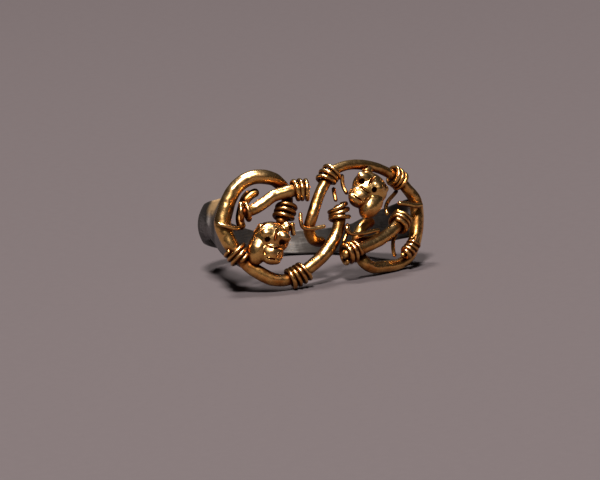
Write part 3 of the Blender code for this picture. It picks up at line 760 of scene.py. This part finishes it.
def head(node, middle, spin, yaw, heavy_side, seed):
    """Casts a head, cuts its eyes and grooves, and sets it in its place on the bezel."""
    form = object_from("head form", head_form(heavy_side))
    cuts = object_from("head cuts", head_cuts(heavy_side))
    for lumps, grain in ((form, HEAD_GRAIN), (cuts, GROOVE_GRAIN)):
        melt = lumps.modifiers.new("melt", "REMESH")
        melt.mode = "VOXEL"
        melt.voxel_size = grain * MM
    soften = form.modifiers.new("soften", "SMOOTH")
    soften.factor = 0.5
    soften.iterations = 6
    drill = form.modifiers.new("drill", "BOOLEAN")
    drill.operation = "DIFFERENCE"
    drill.object = cuts
    drill.solver = "EXACT"
    made = worked_mesh(form)
    bpy.data.objects.remove(cuts)
    placed = (
        Matrix.Translation(bezel_place(*middle))
        @ Matrix.Rotation(middle[0] / BEZEL_CURVE_RADIUS, 4, "Z")
        @ Matrix.Rotation(math.radians(spin), 4, "Y")
        @ Matrix.Rotation(math.radians(yaw), 4, "Z")
    )
    bmesh.ops.transform(made, matrix=placed, verts=made.verts[:])
    hammered(made, *HEAD_DENTS, seed=seed)
    finish_piece(f"{node}_cast", made, gold, node)


# The two heads by their node: (place, spin, yaw, heavy side, seed)
HEADS = {
    "left_serpent_head": ((-7.3, -3.3, 0.9), 12, -6, -1, 41.0),
    "right_serpent_head": ((4.3, 3.1, 0.9), 38, -20, 1, 42.0),
}

for node, (middle, spin, yaw, heavy_side, seed) in HEADS.items():
    head(node, middle, spin, yaw, heavy_side, seed)


# Painted shade and light: every piece keeps how open each spot of it is, with ways down
# counting less. Its finish darkens in hollows and on undersides, and gold pales where open.

REACH = 4.0  # how far away other metal still shelters a spot
FEELERS = 14
FEELER_START = 0.02  # how far off the surface a feeler starts
DOWNWARD = 0.4  # how much a way straight down counts, beside 1 for one upwards
LEVEL = 0.8  # and a level one
UPWARD_GAIN = 0.5
GOLDEN_ANGLE = math.pi * (3 - math.sqrt(5))


def feelers():
    """Directions spread evenly over the half space round +Z."""
    for i in range(FEELERS):
        lean = math.sqrt((i + 0.5) / FEELERS)
        angle = i * GOLDEN_ANGLE
        yield Vector((lean * math.cos(angle), lean * math.sin(angle), math.sqrt(1 - lean**2)))


def all_metal():
    whole = bmesh.new()
    for piece in pieces:
        whole.from_mesh(piece.data)
    return BVHTree.FromBMesh(whole)


def keep_openness(piece, metal, directions):
    values = []
    for vert in piece.data.vertices:
        turn = vert.normal.to_track_quat("Z", "Y").to_matrix()
        start = vert.co + vert.normal * FEELER_START * MM
        free = 0.0
        for direction in directions:
            way = turn @ direction
            distance = metal.ray_cast(start, way, REACH * MM)[3]
            clear = 1.0 if distance is None else distance / (REACH * MM)
            free += clear * min(1.0, max(DOWNWARD, LEVEL + UPWARD_GAIN * way.z))
        values.append(free / len(directions))
    piece.data.attributes.new("openness", "FLOAT", "POINT").data.foreach_set("value", values)


metal = all_metal()
directions = list(feelers())
for piece in pieces:
    keep_openness(piece, metal, directions)


# The photograph's camera looks at the bezel from its left and a little above the
# ring as it lies, through a long lens. The ring lies on a plain pale floor.

# The camera's directions, in the axes of the upright ring
CAMERA_RIGHT = Vector((0.9135, -0.4067, 0.0))
CAMERA_UP = Vector((-0.0566, -0.1272, 0.9903))
CAMERA_BACK = Vector((-0.4028, -0.9046, -0.1392))
CAMERA_DISTANCE = 900.0
SENSOR = 36.0
IMAGE_WIDTH_PX = 600
IMAGE_HEIGHT_PX = 480
BEZEL_MIDDLE_PX = (330, 217)
MM_PER_PX = 0.114

right, up, back = (lying.to_3x3() @ way for way in (CAMERA_RIGHT, CAMERA_UP, CAMERA_BACK))
aside = (BEZEL_MIDDLE_PX[0] - IMAGE_WIDTH_PX / 2) * MM_PER_PX
above = (IMAGE_HEIGHT_PX / 2 - BEZEL_MIDDLE_PX[1]) * MM_PER_PX
aim = lying @ bezel_place(0, 0, 0) - (right * aside + up * above) * MM

camera_data = bpy.data.cameras.new("camera")
camera_data.sensor_width = SENSOR
camera_data.lens = SENSOR * CAMERA_DISTANCE / (IMAGE_WIDTH_PX * MM_PER_PX)
camera_data.clip_start = 0.01
camera_data.clip_end = 20.0
camera = bpy.data.objects.new("camera", camera_data)
bpy.context.scene.collection.objects.link(camera)
camera.matrix_world = Matrix.Translation(aim + back * CAMERA_DISTANCE * MM) @ Matrix(
    (right, up, back)
).transposed().to_4x4()
bpy.context.scene.camera = camera

FLOOR_SIZE = 6000.0
FLOOR_DROP = 0.01  # just clear of the flats that the ring lies on
floor_form = bmesh.new()
bmesh.ops.create_grid(floor_form, x_segments=1, y_segments=1, size=FLOOR_SIZE / 2 * MM)
bmesh.ops.translate(floor_form, verts=floor_form.verts[:], vec=(0, 0, -FLOOR_DROP * MM))
floor = object_from("floor", floor_form)
floor_finish = Finish("pale floor")
grain = floor_finish.clouds(1.2, 2.0)
darker = colour(0.099, 0.083, 0.090)
lighter = colour(0.107, 0.090, 0.097)
floor_finish.fill(floor_finish.shader, {
    "Base Color": floor_finish.mix(grain, darker, lighter),
    "Roughness": 0.85,
    "Specular IOR Level": 0.2,
})
floor.data.materials.append(floor_finish.material)


# Soft studio light: the main lamp stands high up in front, a small one hangs over
# the ring, and the surround that the gold reflects is dark and even.

def lamp(name, place, size, watts, tint):
    """A square lamp that faces the ring, its place in millimetres."""
    data = bpy.data.lights.new(name, "AREA")
    data.size = size * MM
    data.energy = watts
    data.color = tint
    made = bpy.data.objects.new(name, data)
    bpy.context.scene.collection.objects.link(made)
    towards = aim - Vector(place) * MM
    turn = towards.to_track_quat("-Z", "Y").to_matrix().to_4x4()
    made.matrix_world = Matrix.Translation(Vector(place) * MM) @ turn


lamp("main lamp", (-560, -1050, 1700), 340, 74.0, (1.0, 0.94, 0.88))
lamp("overhead lamp", (-40, 230, 900), 170, 7.0, (1.0, 0.95, 0.88))

world = bpy.data.worlds.new("surround")
world.use_nodes = True
surround = world.node_tree.nodes["Background"].inputs
surround["Color"].default_value = colour(0.30, 0.27, 0.26)
surround["Strength"].default_value = 0.05
bpy.context.scene.world = world
bpy.context.scene.view_settings.view_transform = "Standard"
